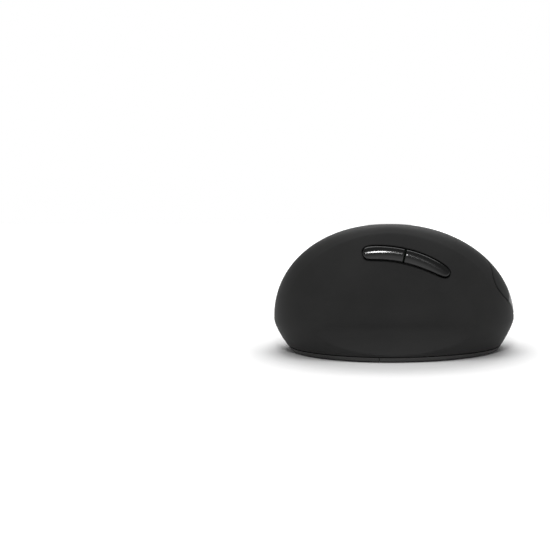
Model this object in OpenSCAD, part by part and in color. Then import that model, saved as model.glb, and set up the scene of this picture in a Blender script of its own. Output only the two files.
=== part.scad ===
// Vertical ergonomic mouse for the left hand, built from its separate pieces.
// +X is the nose, -Y the thumb side, +Y the finger side, and Z rises from the desk.

/* [Body] */
// Overall length from tail to nose
body_l = 108.5; // [107:0.5:111]
// Overall width across the waist
body_w = 72; // [72:0.5:75]
// Height of the ridge above the desk
body_h = 57.8; // [57:0.1:60]
// Height of the waist, where nose and tail turn under
waist_z = 15; // [14:0.5:16]
// Thickness of the moulded walls
wall_t = 2.2; // [1.9:0.1:2.3]
// Parting gap round the moving keys
key_gap = 0.6; // [0.55:0.05:0.7]
// Parting gap between fixed casings
case_gap = 0.3; // [0.25:0.05:0.4]

/* [Thumb side] */
// Depth of the hollow that the thumb rests in
scoop_depth = 11; // [9.5:0.25:11.25]
// Half length of the thumb hollow
scoop_half_l = 37; // [34:0.5:39]
// Radius of the arc that the two thumb buttons follow
arc_r = 59.5; // [56:0.5:63]
// Drop of that arc's crown below the ridge
arc_drop = 11.4; // [10.6:0.1:12]
// Width of the opening for the two thumb buttons
pair_w = 7; // [6.4:0.1:7.4]
// Clearance round each thumb button
button_gap = 0.65; // [0.55:0.05:0.75]
// How far a thumb button's crown stands proud
button_proud = 1.1; // [0.7:0.1:1.3]

/* [Finger side] */
// Station of the scroll wheel along the body
wheel_x = 19; // [18:0.5:20]
// How far the wheel sits below the middle of the finger face
wheel_low = 0.525; // [-0.475:0.1:1.025]
// Radius of the scroll wheel over its tyre
wheel_r = 12; // [11.5:0.1:12.2]
// Width of the rubber tyre
tyre_w = 6.5; // [5.5:0.1:6.8]
// How far the wheel stands out of the finger face
wheel_proud = 3.3; // [2.8:0.1:3.6]
// Width of the trim strip between the two keys
strip_w = 11; // [10.6:0.1:11.4]
// Height of the lower key seam at the nose
seam_nose_z = 16.5; // [16.5:0.1:17.5]
// Height of the lower key seam at the rear end of the keys
seam_rear_z = 22; // [20:0.5:23]

/* [Base] */
// Thickness of the glide feet below the base
foot_proud = 0.6; // [0.5:0.05:0.8]
// Thickness of the base plate and battery door
base_t = 1.6; // [1.4:0.1:1.7]
// Station of the battery door's front edge
door_x = -6.4; // [-6.8:0.1:-6]
// Travel of the battery door before it lifts off
door_travel = 5; // [4:0.5:5]
// Travel of the power slider
slider_travel = 3; // [2:0.5:3]

/* [Batteries] */
// Diameter of one battery cell
cell_d = 10.5; // [10.3:0.1:10.5]
// Length of one battery cell
cell_l = 44.5; // [43.5:0.1:44.5]

/* [Hidden] */
$fn = 48;
far = 90;

// Levels of the base, from the desk up
base_z = foot_proud;
base_top = base_z + base_t;
shell_z = base_top + case_gap;
deck_z = base_top + 0.2;
deck_t = 1.2;
deck_top = deck_z + deck_t;

// The body's outer skin: level slices, each a lopsided oval about the spine
apex_x = -2;
apex_y = -6;
nose_n = 1.98;
tail_n = 2.1;
finger_n = 1.75;
thumb_plan_n = 1.95;
nose_plan_n = 3;
palm_plan_n = 2.5;
scoop_z = waist_z - 0.2;
scoop_down = scoop_z - shell_z - 0.7;
scoop_up = body_h - 3 - scoop_z;

// Ordinate of a unit superellipse, and a ramp with a rounded start
function hyper(s, n) = pow(max(0, 1 - pow(abs(s), n)), 1 / n);
function soft(s, r) = (sqrt(s * s + r * r) - r) / (sqrt(1 + r * r) - r);
function rise(z) = max(0, (z - waist_z) / (body_h - waist_z));

// How far the skin turns under at a level below the waist. The thumb side is widest at the seam.
function tuck(z, r) =
    let (d = max(0, waist_z - z))
    0.33 * (sqrt(d * d + r * r) - r) + 0.0135 * d * d;

thumb_reach = body_w / 2 + 0.15 * tuck(shell_z, 5);

// Reach of the slice at a level: to the nose, tail, finger side and thumb side
function nose_x(z) =
    z >= waist_z ? apex_x + (body_l / 2 - apex_x) * hyper(rise(z), nose_n) : body_l / 2 - tuck(z, 1.5);
function tail_x(z) =
    z >= waist_z ? apex_x - (body_l / 2 + apex_x) * hyper(rise(z), tail_n)
    : -body_l / 2 + 1.15 * tuck(z, 3);
function finger_y(z) =
    z >= waist_z ? apex_y + (body_w / 2 - apex_y) * hyper(rise(z), finger_n)
    : body_w / 2 - 0.25 * tuck(z, 5);
function thumb_y(z) =
    z >= waist_z
    ? apex_y - (thumb_reach + apex_y) * (0.7 * (1 - soft(rise(z), 0.12)) + 0.3 * hyper(rise(z), 4))
    : -thumb_reach + 0.15 * tuck(z, 5);
function centre_y(z) = apex_y * rise(z);

// Depth of the thumb hollow: a bowl with a firm lower rim that fades out upward
function scoop(x, z) =
    let (
        reach = z < scoop_z ? scoop_down : scoop_up,
        q = pow(x / scoop_half_l, 2) + pow((z - scoop_z) / reach, 2),
        fade = z < scoop_z ? 1.15 : 1.15 + 0.85 * min(1, (z - scoop_z) / 15)
    )
    q >= 1 ? 0 : scoop_depth * pow(1 - q, fade);

// Point of the skin at a bearing about the spine and a level
function skin(a, z) =
    let (
        c = cos(a),
        s = sin(a),
        cy = centre_y(z),
        along = c > 0 ? nose_x(z) - apex_x : apex_x - tail_x(z),
        across = s > 0 ? finger_y(z) - cy : cy - thumb_y(z),
        n = s < 0 ? thumb_plan_n : c > 0 ? nose_plan_n : palm_plan_n,
        r = pow(pow(abs(c) / along, n) + pow(abs(s) / across, n), -1 / n),
        x = apex_x + r * c
    )
    [x, cy + r * s + (s < 0 ? scoop(x, z) : 0), z];

// Outward direction of the skin there
function skin_normal(a, z) =
    let (
        level = min(z, body_h - 0.06),
        round = skin(a + 0.4, level) - skin(a - 0.4, level),
        up = skin(a, level + 0.05) - skin(a, level - 0.05),
        n = cross(round, up)
    )
    n / norm(n);

// The skin as two height fields: Y of the thumb side and of the finger side
function reach_ratio(x, z) =
    min(1, x > apex_x ? (x - apex_x) / (nose_x(z) - apex_x) : (apex_x - x) / (apex_x - tail_x(z)));
function thumb_at(x, z) =
    let (cy = centre_y(z))
    cy - (cy - thumb_y(z)) * hyper(reach_ratio(x, z), thumb_plan_n) + scoop(x, z);
function finger_at(x, z) =
    let (cy = centre_y(z))
    cy + (finger_y(z) - cy) * hyper(reach_ratio(x, z), x > apex_x ? nose_plan_n : palm_plan_n);

// Y of the thumb wall's inner face, where the wall is met straight along Y
function thumb_inner_at(x, z) =
    let (
        fx = (thumb_at(x + 0.2, z) - thumb_at(x - 0.2, z)) / 0.4,
        fz = (thumb_at(x, z + 0.2) - thumb_at(x, z - 0.2)) / 0.4
    )
    thumb_at(x, z) + wall_t * sqrt(1 + fx * fx + fz * fz);

// Level of the skin above a point in plan, found by halving
function under_skin(x, y, z) = y > thumb_at(x, z) && y < finger_at(x, z);
function roof_z(x, y, low = waist_z, high = body_h, k = 16) =
    let (mid = (low + high) / 2)
    k == 0 ? low
    : under_skin(x, y, mid) ? roof_z(x, y, mid, high, k - 1) : roof_z(x, y, low, mid, k - 1);

// Top of a round post that ends inside the wall above it
function post_top(x, y, r) =
    min([for (a = [0 : 45 : 315]) roof_z(x + r * cos(a), y + r * sin(a))]) - wall_t * 0.4;

// Plan outline of the skin at a level, drawn in by an inset
function outline(z, inset) =
    [for (i = [0 : skin_cols - 1])
        let (
            a = bearing(360 * i / skin_cols),
            n = skin_normal(a, z),
            p = skin(a, z),
            k = inset / norm([n[0], n[1]])
        )
        [p[0] - k * n[0], p[1] - k * n[1]]];

// Rings and columns of the skin's mesh
skin_cols = 76;
dome_rows = 14;
tuck_rows = 7;
rim_h = 4;
function bearing(t) = atan2(body_w * sin(t), 1.55 * body_w * cos(t));
function level(j, rows) =
    j < rows ? shell_z + (waist_z - shell_z) * pow(j / max(1, rows), 1.3)
    : waist_z + (body_h - waist_z) * sin(89 * (j - rows) / dome_rows);

// A sector of the moulded wall, closed all round. Sectors short of a full turn start at the waist.
module skin_wall(from = 0, to = 360, cols = skin_cols) {
    whole = to - from == 360;
    rows_low = whole ? tuck_rows : 0;
    rows = rows_low + dome_rows;
    n = whole ? cols : cols + 1;
    m = (rows + 1) * n;
    outer_top = 2 * m;
    inner_top = 2 * m + 1;
    grid = [for (j = [0 : rows], i = [0 : n - 1]) [bearing(from + (to - from) * i / cols), level(j, rows_low)]];
    outer = [for (g = grid) skin(g[0], g[1])];
    inner = [for (g = grid)
        let (
            n = skin_normal(g[0], g[1]),
            inward = [n[0], n[1], n[2] * min(1, (g[1] - shell_z) / rim_h)]
        )
        skin(g[0], g[1]) - wall_t * inward / norm(inward)];
    tops = [[apex_x, apex_y, body_h], [apex_x, apex_y, body_h - wall_t]];
    skin_faces = [for (j = [0 : rows - 1], i = [0 : cols - 1])
        let (a = j * n + i, b = j * n + (i + 1) % n)
        each [[a, a + n, b + n], [a, b + n, b]]];
    lining = [for (f = skin_faces) [f[0] + m, f[2] + m, f[1] + m]];
    rim = [for (i = [0 : cols - 1])
        let (a = i, b = (i + 1) % n)
        each [[a, b, b + m], [a, b + m, a + m]]];
    caps = [for (i = [0 : cols - 1])
        let (a = rows * n + i, b = rows * n + (i + 1) % n)
        each [[a, outer_top, b], [a + m, b + m, inner_top]]];
    first = rows * n;
    last = first + cols;
    ends = whole ? [] : concat(
        [for (j = [0 : rows - 1])
            let (a = j * n, b = a + n, c = a + cols, d = b + cols)
            each [[b, a, a + m], [b, a + m, b + m], [c, d, d + m], [c, d + m, c + m]]],
        [[outer_top, first, first + m], [outer_top, first + m, inner_top],
            [last, outer_top, inner_top], [last, inner_top, last + m]]);
    polyhedron(concat(outer, inner, tops), concat(skin_faces, lining, rim, caps, ends));
}

// The finger face's own frame: t runs to the nose, w down the slope, n out of the face
face_yaw = 9;
face_tilt = 36;
wheel_z = (body_h + (seam_nose_z + seam_rear_z) / 2) / 2 - wheel_low;
face_p = [wheel_x, finger_at(wheel_x, wheel_z), wheel_z];
face_t = [cos(face_yaw), -sin(face_yaw), 0];
face_out = [sin(face_yaw) * cos(face_tilt), cos(face_yaw) * cos(face_tilt), sin(face_tilt)];
face_w = cross(face_out, face_t);
function face_point(t, w, n) = face_p + t * face_t + w * face_w + n * face_out;
function face_n(t, w, n = 0, k = 40) =
    let (p = face_point(t, w, n))
    k == 0 ? n : face_n(t, w, n + 0.5 * (finger_at(p[0], min(p[2], body_h - 0.1)) - p[1]), k - 1);
module on_face() {
    translate(face_p) rotate([0, 0, -face_yaw]) rotate([face_tilt - 90, 0, 0]) children();
}

// The same frame with its tilt left out, for ribs that stand upright on the base
function upright_y(w, n) = w * sin(face_tilt) + n * cos(face_tilt);
function upright_z(w, n) = wheel_z - w * cos(face_tilt) + n * sin(face_tilt);
module upright() {
    translate([face_p[0], face_p[1], 0]) rotate([0, 0, -face_yaw]) children();
}

// Levels below the finger face, along n
board_t = 1.2;
board_n = -15;
frame_n = board_n - board_t;
axle_n = wheel_proud - wheel_r;
axle_r = 1.5;
fit = 0.05;

// Seams of the finger side
ridge_seam_y = -2.5;
rear_seam_t = -29;
nose_seam_bow = 11;
nose_seam_top = 45;
seam_tail_z = 20;

// Places below the finger face, along t
pivot_t = 17;
pivot_n = -12;
ear_t = -9;
ear_n = -10.4;
dpi_t = -17;
lens_t = -23.8;
trim_posts = [-27.3, 21.8];
key_pivot_t = -24.5;
key_pivot_n = -10.5;
click_t = 2;
click_w = 12;
board_w = 32;
board_rear_t = -22;
board_front_t = 19;
board_screws = [[-18, -14], [-18, 14], [14, -14], [14, 14]];

// Small switches: two sizes of body, and the stems that slide in them
micro = [12.8, 5.8, 6.5];
tact_w = 4.6;
tact_h = 2.6;
stem_r = 1.1;
stem_gap = 0.12;

// Thumb buttons: the arc band between two bearings, split at a third
arc_x = -8;
arc_z = body_h - arc_drop;
arc_from = -6;
arc_to = 33.3;
arc_split = 12.3;
pair_taper = 0.24;
pair_end_n = 11;
pair_side_n = 2.5;
side_y = -10;
flange_w = 1.1;
back_at = 3;
forward_at = 22;
side_board_from = -14;
side_board_to = 42;
side_board_w = 11;
side_screws = [-11.5, 39.5];

// Battery bay, across the body behind the door's front edge
bay_wall = 1.4;
spring_l = 3;
contact_t = 0.45;
contact_w = 6.2;
bay_x1 = door_x - 1.5;
cell_x = [bay_x1 - 0.35 - cell_d / 2, bay_x1 - 0.85 - cell_d * 3 / 2];
bay_x0 = cell_x[1] - cell_d / 2 - 0.35;
bay_y0 = -21.6;
bay_corner = 2.5;
bay_y1 = bay_y0 + cell_l + spring_l + 2 * contact_t;
cell_z = base_top + 0.75 + cell_d / 2;
bay_z = cell_z + cell_d / 2 + 0.45;
bay_top = bay_z + bay_wall;

// Main board on the base, with the optical sensor over its window
main_z = base_top + 3;
main_top = main_z + board_t;
main_x = [door_x + 2.9, 30];
main_y = [-15, 17];
main_posts = [[main_x[0] + 3.5, -12], [main_x[1] - 3, -12], [main_x[1] - 3, 14]];
sensor_x = 12;
sensor_y = 1;
slider_x = main_x[1] - 5.2;
slider_y = -3;
slider_l = 3.2;
slider_w = 2.4;

// Case screws: two under the front plate and two under the deck
pad_top = deck_top + 0.6;
pad_r = 3.4;
screw_r = 1.2;
head_r = 2.2;
head_h = 0.85;
wall_boss_r = 3;
belt_set = wall_t + 3.6;
front_post_x = body_l / 2 - 18.25;
tail_post_x = 14.25 - body_l / 2;
belt_post_x = [18, -36];
case_posts = [
    [front_post_x, -17, base_top - 0.2],
    [belt_post_x[0], finger_at(belt_post_x[0], shell_z) - belt_set, base_top - 0.2],
    [tail_post_x, -10, deck_top - 0.3],
    [belt_post_x[1], finger_at(belt_post_x[1], shell_z) - belt_set, deck_top - 0.3]];
belt_boss_top = 14;
frame_screw_y = [-14, -8];
frame_screw_t = 21;
hooks_y = [-1, 12];
hook_l = 4.2;
hook_stem = 2.2;
hook_x = bay_x0 - bay_wall - 0.4 - hook_l;
foot_pads = [[body_l / 2 - 16.25, -0.4, 7, 13.6], [10, -26, 22, 5], [10, 28, 22, 5]];
rear_pad = [-37, 3, 7, 20];
palm_posts = [[-19, 14], [13.25 - body_l / 2, 6]];

// A prism through the body, from an outline in side view
module side_prism(points, inset = 0) {
    translate([0, far, 0]) rotate([90, 0, 0]) linear_extrude(2 * far) offset(delta = -inset) polygon(points);
}

// The room inside the finger side's seams, drawn in by an inset
module finger_zone(inset) {
    low = seam_nose_z - 0.5;
    nose_seam = [for (i = [0 : 18])
        [ridge_seam_y - nose_seam_bow * pow(sin(10 * i), 1.3), low + (nose_seam_top - low) * i / 18]];
    inner_y = ridge_seam_y + 4;
    intersection() {
        side_prism([[-far, seam_tail_z], [-body_l / 2, seam_tail_z], [-10, seam_rear_z],
            [body_l / 2, seam_nose_z], [far, seam_nose_z], [far, far], [-far, far]], inset);
        union() {
            translate([-far, ridge_seam_y + inset, 0]) cube([2 * far, far, far]);
            rotate([90, 0, 90]) linear_extrude(far) offset(delta = -inset)
                polygon(concat(nose_seam, [[inner_y, nose_seam_top], [inner_y, low]]));
        }
    }
}

// The part of the finger face in a band of t and w
module face_band(t0, t1, w0, w1) {
    on_face() translate([t0, w0, -far]) cube([t1 - t0, w1 - w0, 2 * far]);
}

// Plan shapes that repeat
module stadium(l, w) {
    square([l - w, w], center = true);
    for (s = [-1, 1]) translate([s * (l - w) / 2, 0]) circle(d = w);
}
module rounded(l, w, r) {
    offset(r = r) square([l - 2 * r, w - 2 * r], center = true);
}

// A cylinder along w in the finger face's frame
module face_pin(t, n, r, w0, w1) {
    on_face() translate([t, w0, n]) rotate([-90, 0, 0]) cylinder(r = r, h = w1 - w0);
}

// A button switch: a square body with a bore for its stem, standing on z = 0
module tact_body(h) {
    difference() {
        translate([-tact_w / 2, -tact_w / 2, 0]) cube([tact_w, tact_w, h]);
        translate([0, 0, h - 1.9]) cylinder(r = stem_r + stem_gap, h = 3);
    }
}
module tact_stem(h) {
    translate([0, 0, h - 1.2]) cylinder(r = stem_r, h = 2);
}
stem_top = 0.8;

// A pan-head screw, its seat at z = 0 and its shank upward
module screw(r, l, head) {
    cylinder(r = r, h = l);
    difference() {
        translate([0, 0, -head_h]) cylinder(r = head, h = head_h);
        translate([0, 0, -head_h - 1]) cylinder(r = head * 0.45, h = 1.4, $fn = 6);
    }
}

// The arc band of the thumb buttons: points by bearing along the arc and radius
function arc_point(a, r) = [arc_x + r * sin(a), arc_z - arc_r + r * cos(a)];
function arc_mid() = (arc_from + arc_to) / 2;
function arc_half() = (arc_to - arc_from) / 2;
function pair_half(u) = (pair_w / 2) * (1 - pair_taper * pow(max(0, u), 2));
function pair_edge(u, grow) =
    (pair_half(u) + grow) * pow(max(0, 1 - pow(abs(u), pair_end_n)), 1 / pair_side_n);
function to_angle(l) = l / arc_r * 180 / PI;

// Outline of the opening for both buttons, in side view
function pair_outline(grow) =
    [for (side = [1, -1], a = [-90 : 6 : 84])
        let (u = side * sin(a))
        arc_point(arc_mid() + u * (arc_half() + to_angle(grow)), arc_r + side * pair_edge(u, grow))];

// A slab along the arc whose faces follow the thumb wall at two depths, with a crown on its face
module arc_slab(from, to, grow, face, back, crown, by_inner) {
    nu = 16;
    nv = 6;
    spots = [for (i = [0 : nu], j = [0 : nv])
        let (
            k = 1 - 2 * i / nu,
            a = (from + to) / 2 - (to - from) / 2 * sign(k) * (1 - pow(1 - abs(k), 1.7)),
            v = 2 * j / nv - 1,
            u = (a - arc_mid()) / (arc_half() + to_angle(grow)),
            p = arc_point(a, arc_r + v * pair_edge(u, grow)),
            wall = by_inner ? thumb_inner_at(p[0], p[1]) : thumb_at(p[0], p[1]),
            lift = crown * (1 - pow(v, 4)) * (1 - pow(k, 8))
        )
        [p, wall + face - lift, thumb_inner_at(p[0], p[1]) + back]];
    n = nv + 1;
    m = len(spots);
    points = concat([for (s = spots) [s[0][0], s[1], s[0][1]]], [for (s = spots) [s[0][0], s[2], s[0][1]]]);
    quads = [for (i = [0 : nu - 1], j = [0 : nv - 1])
        let (a = i * n + j)
        each [[a, a + 1, a + n + 1], [a, a + n + 1, a + n]]];
    lining = [for (f = quads) [f[0] + m, f[2] + m, f[1] + m]];
    sides = [for (i = [0 : nu - 1])
        let (a = i * n, b = a + nv)
        each [[a, a + n, a + n + m], [a, a + n + m, a + m],
            [b, b + m, b + n + m], [b, b + n + m, b + n]]];
    ends = [for (j = [0 : nv - 1])
        let (a = j, b = nu * n + j)
        each [[a, a + m, a + 1 + m], [a, a + 1 + m, a + 1],
            [b, b + 1, b + 1 + m], [b, b + 1 + m, b + m]]];
    polyhedron(points, concat(quads, lining, sides, ends));
}

module main_shell() {
    color([0.17, 0.17, 0.17]) difference() {
        union() {
            difference() {
                skin_wall();
                finger_zone(0);
                pair_cutter();
            }
            for (p = case_posts) translate([p[0], p[1], pad_top])
                if (p[1] > 0) {
                    cylinder(r = wall_boss_r, h = belt_boss_top - pad_top);
                    translate([-1.2, 0, 0]) cube([2.4, belt_set - 0.9, belt_boss_top - pad_top]);
                } else {
                    cylinder(r = wall_boss_r, h = post_top(p[0], p[1], wall_boss_r) - pad_top);
                }
            for (a = side_screws) side_boss(a);
        }
        for (p = case_posts) translate([p[0], p[1], 0]) cylinder(r = screw_r, h = pad_top + 8);
        for (a = side_screws)
            let (p = arc_point(a, arc_r))
            translate([p[0], side_y + 0.1, p[1]]) rotate([90, 0, 0]) cylinder(r = 0.8, h = 4.1);
    }
}

// The opening for the thumb buttons, cut from outside as far as the side board
module pair_cutter() {
    translate([0, side_y, 0]) rotate([90, 0, 0]) linear_extrude(far) polygon(pair_outline(0));
}

// A post from the thumb wall to the side board
module side_boss(a) {
    p = arc_point(a, arc_r);
    start = thumb_at(p[0], p[1]) + wall_t * 0.7;
    translate([p[0], side_y, p[1]]) rotate([90, 0, 0]) cylinder(r = 2.4, h = side_y - start);
}

module palm_panel() {
    color([0.18, 0.18, 0.18]) {
        intersection() {
            skin_wall(90, 196, 28);
            intersection() {
                finger_zone(case_gap);
                face_band(-far, rear_seam_t - key_gap, -far, far);
            }
        }
        translate([palm_posts[0][0], palm_posts[0][1], bay_top])
            cylinder(r = 2.5, h = post_top(palm_posts[0][0], palm_posts[0][1], 2.5) - bay_top);
        translate([palm_posts[1][0], palm_posts[1][1], deck_top])
            cylinder(r = 2.5, h = post_top(palm_posts[1][0], palm_posts[1][1], 2.5) - deck_top);
    }
}

// One key: its piece of the skin, the web and pivot pin at its rear, and the post over its switch
module key(side, from, to, cols) {
    edge = strip_w / 2 + key_gap;
    web_n = face_n(key_pivot_t, side * 11) - wall_t * 0.6;
    post_n = face_n(click_t, side * click_w) - wall_t * 0.5;
    intersection() {
        skin_wall(from, to, cols);
        intersection() {
            finger_zone(key_gap);
            face_band(rear_seam_t, far, side < 0 ? -far : edge, side < 0 ? -edge : far);
        }
    }
    on_face() translate([key_pivot_t - 2, side * 11 - 1.6, key_pivot_n - 2])
        cube([4, 3.2, web_n - key_pivot_n + 2]);
    face_pin(key_pivot_t, key_pivot_n, axle_r, side < 0 ? -15.4 : 6.6, side < 0 ? -6.6 : 15.4);
    on_face() translate([click_t, side * click_w, plunger_n]) cylinder(r = 1.8, h = post_n - plunger_n);
}
plunger_n = board_n + micro[2] + 0.9;

module index_key() {
    color([0.19, 0.19, 0.19]) key(-1, -50, 168, 46);
}

module middle_key() {
    color([0.19, 0.19, 0.19]) key(1, -20, 125, 32);
}

module wheel_trim() {
    chord = sqrt(pow(wheel_r, 2) - pow(axle_n + wall_t + 0.3, 2));
    dpi_n = face_n(dpi_t, 0);
    color([0.08, 0.08, 0.08]) {
        difference() {
            intersection() {
                skin_wall(-20, 140, 34);
                intersection() {
                    finger_zone(key_gap);
                    face_band(rear_seam_t, far, -strip_w / 2, strip_w / 2);
                }
            }
            on_face() translate([0, 0, -9]) linear_extrude(20) rounded(2 * chord + 1.6, tyre_w + 1.3, 1);
            on_face() translate([dpi_t, 0, dpi_n - 6]) linear_extrude(12) stadium(7, 4);
            on_face() translate([lens_t, 0, -9]) cylinder(r = 1.35, h = 20);
        }
        for (t = trim_posts)
            on_face() translate([t, 0, board_n])
                cylinder(r = 1.5, h = face_n(t, 0) - wall_t * 0.5 - board_n);
    }
}

tyre_in = wheel_r - 2;
module wheel_tyre() {
    w = tyre_w / 2;
    color([0.1, 0.1, 0.1]) on_face() translate([0, 0, axle_n]) rotate([90, 0, 0]) difference() {
        rotate_extrude($fn = 96) polygon([[tyre_in, -w], [wheel_r - 0.9, -w], [wheel_r, -w + 0.9],
            [wheel_r, w - 0.9], [wheel_r - 0.9, w], [tyre_in, w]]);
        for (a = [0 : 12 : 348])
            rotate(a) translate([wheel_r + 0.15, 0, -w - 1]) cylinder(r = 0.5, h = tyre_w + 2);
    }
}

module wheel_hub() {
    w = tyre_w / 2 - 0.4;
    color([0.25, 0.25, 0.25]) {
        on_face() translate([0, 0, axle_n]) rotate([90, 0, 0]) rotate_extrude($fn = 96)
            polygon([[0, -w], [3.6, -w], [4, -w + 1.6], [8, -w + 1.6], [8.4, -w], [tyre_in, -w],
                [tyre_in, w], [8.4, w], [8, w - 1.6], [4, w - 1.6], [3.6, w], [0, w]]);
        face_pin(0, axle_n, axle_r, -8.5, 6.6);
    }
}

module wheel_carrier() {
    color([0.85, 0.85, 0.83]) {
        difference() {
            for (s = [-1, 1])
                on_face() translate([0, s * 5.3, 0]) rotate([90, 0, 0]) linear_extrude(1.8, center = true) hull() {
                    translate([0, axle_n]) circle(3.4, $fn = 32);
                    translate([pivot_t, pivot_n]) circle(2.4, $fn = 32);
                    translate([ear_t, ear_n]) circle(1.2, $fn = 32);
                }
            face_pin(0, axle_n, axle_r + fit, -8, 8);
        }
        on_face() translate([13, -6.2, pivot_n - 1.2]) cube([2, 12.4, 2.4]);
        on_face() translate([ear_t - 2, 4.4, ear_n - 1.2]) cube([4, 6.8, 2]);
        face_pin(pivot_t, pivot_n, axle_r, -9.1, 9.1);
    }
}

module wheel_encoder() {
    color([0.2, 0.45, 0.3]) difference() {
        on_face() translate([-4.5, -8.7, axle_n - 4.9]) cube([9, 2.5, 9.4]);
        face_pin(0, axle_n, axle_r + fit, -10, -6);
    }
}

module wheel_bracket() {
    color([0.15, 0.15, 0.15]) difference() {
        on_face() union() {
            difference() {
                translate([14.6, -9.2, board_n]) cube([5.4, 18.4, 0.9]);
                translate([14, -6.8, board_n - 1]) cube([4.9, 13.6, 3]);
            }
            for (s = [-1, 1]) translate([14.6, s * 8.1 - 1.1, board_n]) cube([4.8, 2.2, 5.2]);
        }
        face_pin(pivot_t, pivot_n, axle_r + fit, -10, 10);
    }
}

switch_w = 9.3;
module wheel_switch() {
    color([0.1, 0.1, 0.1]) on_face() translate([ear_t, switch_w, board_n]) tact_body(tact_h);
}

module wheel_switch_stem() {
    color([0.6, 0.2, 0.2]) on_face() translate([ear_t, switch_w, board_n]) tact_stem(tact_h);
}

dpi_h = 3;
module dpi_button() {
    f = face_n(dpi_t, 0);
    under = f - wall_t * 1.1;
    color([0.12, 0.12, 0.12]) on_face() translate([dpi_t, 0, 0]) {
        translate([0, 0, under - 1]) linear_extrude(f - under + 1.6) stadium(6.5, 3.5);
        translate([0, 0, under - 1.5]) linear_extrude(1.1) stadium(8.4, 5.2);
        translate([0, 0, board_n + dpi_h + stem_top])
            cylinder(r = 1.2, h = under - 1 - board_n - dpi_h - stem_top);
    }
}

module dpi_switch() {
    color([0.1, 0.1, 0.1]) on_face() translate([dpi_t, 0, board_n]) tact_body(dpi_h);
}

module dpi_switch_stem() {
    color([0.6, 0.2, 0.2]) on_face() translate([dpi_t, 0, board_n]) tact_stem(dpi_h);
}

module indicator_lens() {
    color([0.9, 0.9, 0.9]) on_face() translate([lens_t, 0, board_n])
        cylinder(r = 1.2, h = face_n(lens_t, 0) + 0.1 - board_n);
}

// One thumb button: a crowned cap in the opening, a flange behind the wall and a post to its switch
module thumb_button(from, to, flange_from, flange_to, at) {
    p = arc_point(at, arc_r);
    behind = thumb_inner_at(p[0], p[1]) + 1;
    arc_slab(from, to, -button_gap, 0.2, 0.8, button_proud + 0.2, false);
    arc_slab(flange_from, flange_to, flange_w, 0.45, 1.5, 0, true);
    translate([p[0], side_y - tact_h - stem_top, p[1]]) rotate([90, 0, 0])
        cylinder(r = 1.3, h = side_y - tact_h - stem_top - behind);
}
cap_end = to_angle(button_gap) + 0.3;

module back_button() {
    color([0.03, 0.03, 0.03])
        thumb_button(arc_from + cap_end, arc_split - to_angle(button_gap / 2), arc_from - 0.6,
            arc_split - to_angle(button_gap / 2), back_at);
}

module forward_button() {
    color([0.03, 0.03, 0.03])
        thumb_button(arc_split + to_angle(button_gap / 2), arc_to - cap_end,
            arc_split + to_angle(button_gap / 2), arc_to + 0.6, forward_at);
}

// Children placed on the side board's face, with z out towards the thumb
module on_side_board(at) {
    p = arc_point(at, arc_r);
    translate([p[0], side_y, p[1]]) rotate([90, 0, 0]) children();
}

module side_board() {
    inner = arc_r - side_board_w / 2;
    outer = arc_r + side_board_w / 2;
    edge = [for (a = [side_board_from : 4 : side_board_to]) a];
    color([0.1, 0.3, 0.18]) difference() {
        translate([0, side_y + board_t, 0]) rotate([90, 0, 0]) linear_extrude(board_t)
            polygon(concat([for (a = edge) arc_point(a, outer)],
                [for (i = [len(edge) - 1 : -1 : 0]) arc_point(edge[i], inner)]));
        for (a = side_screws) on_side_board(a) translate([0, 0, -3]) cylinder(r = 0.8, h = 6);
    }
}

module side_switches() {
    color([0.1, 0.1, 0.1]) for (a = [back_at, forward_at]) on_side_board(a) tact_body(tact_h);
}

module back_switch_stem() {
    color([0.6, 0.2, 0.2]) on_side_board(back_at) tact_stem(tact_h);
}

module forward_switch_stem() {
    color([0.6, 0.2, 0.2]) on_side_board(forward_at) tact_stem(tact_h);
}

module side_board_screws() {
    color([0.7, 0.7, 0.7]) for (a = side_screws)
        on_side_board(a) translate([0, 0, -board_t]) screw(0.8, 5, 1.6);
}

// Two upright ribs and two rails that carry the key board at the finger face's slope
rib_t = 2;
rib_ts = [-25.5, 16];
rib_w = 15.5;
rib_n = frame_n - 0.3;
rail_h = 4;
foot_h = 6;
module key_frame() {
    feet = [bay_top - 1, base_top];
    color([0.2, 0.2, 0.2]) difference() {
        union() {
            for (i = [0, 1])
                upright() translate([rib_ts[i], 0, 0]) rotate([90, 0, 90]) linear_extrude(rib_t)
                    polygon([[upright_y(-rib_w, rib_n), upright_z(-rib_w, rib_n)],
                        [upright_y(rib_w, rib_n), upright_z(rib_w, rib_n)],
                        [upright_y(rib_w, rib_n), feet[i]],
                        [upright_y(-rib_w, rib_n), feet[i]]]);
            for (s = [-1, 1]) {
                on_face() translate([rib_ts[0] + 0.5, s * 14 - 1.4, frame_n - rail_h])
                    cube([rib_ts[1] - rib_ts[0] + rib_t - 1, 2.8, rail_h]);
                for (w = [8, 14])
                    on_face() translate([key_pivot_t - 2.1, s * w - 1, frame_n - 2])
                        cube([4.2, 2, key_pivot_n + 2.1 - frame_n + 2]);
            }
            upright() translate([rib_ts[1] + rib_t - 0.5, -16.5, base_top]) cube([6.5, 11, foot_h]);
        }
        translate([-far, 0, 0]) cube([far + door_x + 1.8, far, bay_top]);
        for (s = [-1, 1])
            face_pin(key_pivot_t, key_pivot_n, axle_r + fit, s < 0 ? -16 : 6, s < 0 ? -6 : 16);
        for (p = board_screws)
            on_face() translate([p[0], p[1], frame_n - 3.4]) cylinder(r = 0.8, h = 5);
        for (y = frame_screw_y)
            upright() translate([frame_screw_t, y, base_top - 1]) cylinder(r = screw_r, h = foot_h);
    }
}

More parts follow.
